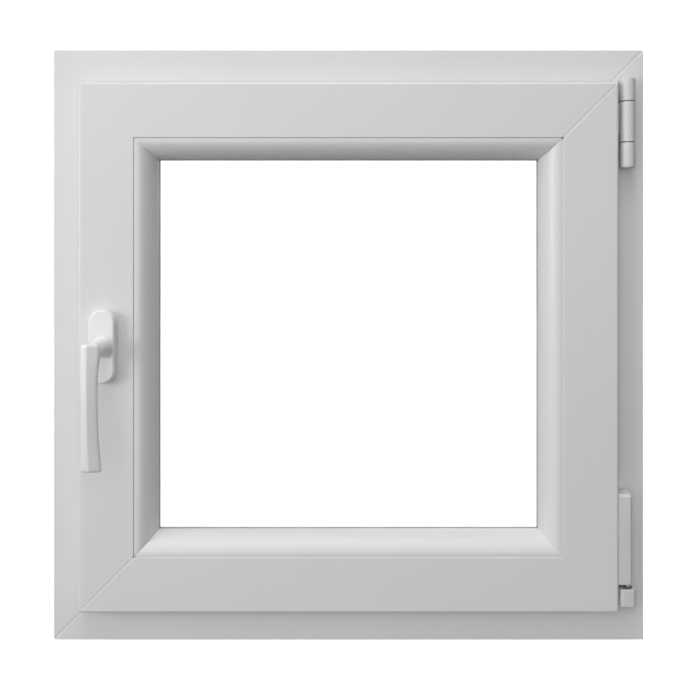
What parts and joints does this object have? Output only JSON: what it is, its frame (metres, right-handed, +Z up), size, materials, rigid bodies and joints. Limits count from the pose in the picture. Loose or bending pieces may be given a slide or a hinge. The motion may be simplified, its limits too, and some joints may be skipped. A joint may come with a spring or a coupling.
{
  "type": "casement window",
  "caption": "Square white plastic tilt-and-turn window: outer frame, double-glazed sash, side handle, top stay hinge and lower corner hinge.",
  "frame": {"origin": "centre of the outer frame's underside, halfway through the frame's depth", "axes": "+Z up; +X towards the hinge side, which is on the right from the room; -Y towards the room and +Y towards the weather"},
  "size_m": [0.6, 0.1456, 0.6],
  "materials": {
    "white_pvc": "smooth white window PVC-U with a soft sheen",
    "white_cap_plastic": "moulded white plastic cover",
    "white_handle_paint": "white powder coat on cast aluminium",
    "grey_rubber": "matt grey extruded seal",
    "black_sealant": "black edge sealant",
    "clear_glass": "clear float glass",
    "aluminium_spacer": "mill-finish spacer bar",
    "setting_block_plastic": "blue packing block",
    "zinc_plated_steel": "bright zinc-plated hardware",
    "galvanised_steel": "hot-dip galvanised reinforcement"
  },
  "bodies": {
    "frame": {"frame_sill": "white_pvc", "frame_jamb_left": "white_pvc", "frame_head": "white_pvc", "frame_jamb_right": "white_pvc", "frame_steel_sill": "galvanised_steel", "frame_steel_left": "galvanised_steel", "frame_steel_head": "galvanised_steel", "frame_steel_right": "galvanised_steel", "frame_gasket": "grey_rubber", "keep_side_upper": "zinc_plated_steel", "keep_side_lower": "zinc_plated_steel", "keep_top": "zinc_plated_steel", "keep_bottom": "zinc_plated_steel", "stay_bearing": "zinc_plated_steel", "stay_bearing_cap_lower": "white_cap_plastic", "stay_bearing_cap_upper": "white_cap_plastic", "stay_hinge_pin": "zinc_plated_steel", "corner_bearing": "zinc_plated_steel", "corner_bearing_cap": "white_cap_plastic"},
    "pivot": {"corner_pivot": "zinc_plated_steel"},
    "sash": {"sash_bottom_rail": "white_pvc", "sash_stile_left": "white_pvc", "sash_top_rail": "white_pvc", "sash_stile_right": "white_pvc", "sash_steel_bottom": "galvanised_steel", "sash_steel_left": "galvanised_steel", "sash_steel_top": "galvanised_steel", "sash_steel_right": "galvanised_steel", "sash_gasket": "grey_rubber", "bead_bottom": "white_pvc", "bead_left": "white_pvc", "bead_top": "white_pvc", "bead_right": "white_pvc", "glass_pane_inner": "clear_glass", "glass_pane_outer": "clear_glass", "glass_spacer": "aluminium_spacer", "glass_edge_seal": "black_sealant", "glazing_gasket_inner": "grey_rubber", "glazing_gasket_outer": "grey_rubber", "setting_block_left": "setting_block_plastic", "setting_block_right": "setting_block_plastic", "handle_base": "zinc_plated_steel", "handle_cover": "white_cap_plastic", "gear_case": "zinc_plated_steel", "faceplate_side": "zinc_plated_steel", "stay_rail": "zinc_plated_steel", "faceplate_bottom": "zinc_plated_steel", "corner_drive_top": "zinc_plated_steel", "corner_drive_bottom": "zinc_plated_steel", "corner_band": "zinc_plated_steel", "corner_band_cap": "white_cap_plastic"},
    "handle": {"handle_lever": "white_handle_paint", "handle_spindle": "zinc_plated_steel", "follower_pinion": "zinc_plated_steel"},
    "stay_arm": {"stay_arm": "zinc_plated_steel", "stay_arm_cap": "white_cap_plastic"},
    "stay_link": {"stay_link": "zinc_plated_steel"},
    "rod_side": {"drive_rod_side": "zinc_plated_steel"},
    "rod_top": {"drive_rod_top": "zinc_plated_steel"},
    "rod_bottom": {"drive_rod_bottom": "zinc_plated_steel"}
  },
  "joints": [
    {"name": "turn", "type": "hinge", "parent": "frame", "child": "pivot", "pos_m": [0.2806, -0.044, 0.049], "axis": [0, 0, 1], "range_deg": [0, 90]},
    {"name": "tilt", "type": "hinge", "parent": "pivot", "child": "sash", "pos_m": [0.2806, -0.044, 0.049], "axis": [1, 0, 0], "range_deg": [0, 9]},
    {"name": "handle_turn", "type": "hinge", "parent": "sash", "child": "handle", "pos_m": [-0.2415, -0.058, 0.302], "axis": [0, -1, 0], "range_deg": [0, 180]},
    {"name": "rod_side_slide", "type": "slide", "parent": "sash", "child": "rod_side", "axis": [0, 0, 1], "range_m": [0, 0.0236]},
    {"name": "rod_top_slide", "type": "slide", "parent": "sash", "child": "rod_top", "axis": [1, 0, 0], "range_m": [0, 0.0236]},
    {"name": "rod_bottom_slide", "type": "slide", "parent": "sash", "child": "rod_bottom", "axis": [-1, 0, 0], "range_m": [0, 0.0236]},
    {"name": "stay_swing", "type": "hinge", "parent": "pivot", "child": "stay_arm", "pos_m": [0.2806, -0.044, 0.5255], "axis": [0, 0, 1], "range_deg": [0, 19.5]},
    {"name": "link_swing", "type": "hinge", "parent": "stay_arm", "child": "stay_link", "pos_m": [0.1406, -0.026, 0.5495], "axis": [0, 0, 1], "range_deg": [-41.6, 0]}
  ],
  "couplings": [
    {"joint": "rod_side_slide", "follows": "handle_turn", "m_per_rad": 0.0075},
    {"joint": "rod_top_slide", "follows": "handle_turn", "m_per_rad": 0.0075},
    {"joint": "rod_bottom_slide", "follows": "handle_turn", "m_per_rad": 0.0075},
    {"joint": "stay_swing", "follows": "tilt", "ratio": 2.1616},
    {"joint": "link_swing", "follows": "tilt", "ratio": -4.606}
  ]
}
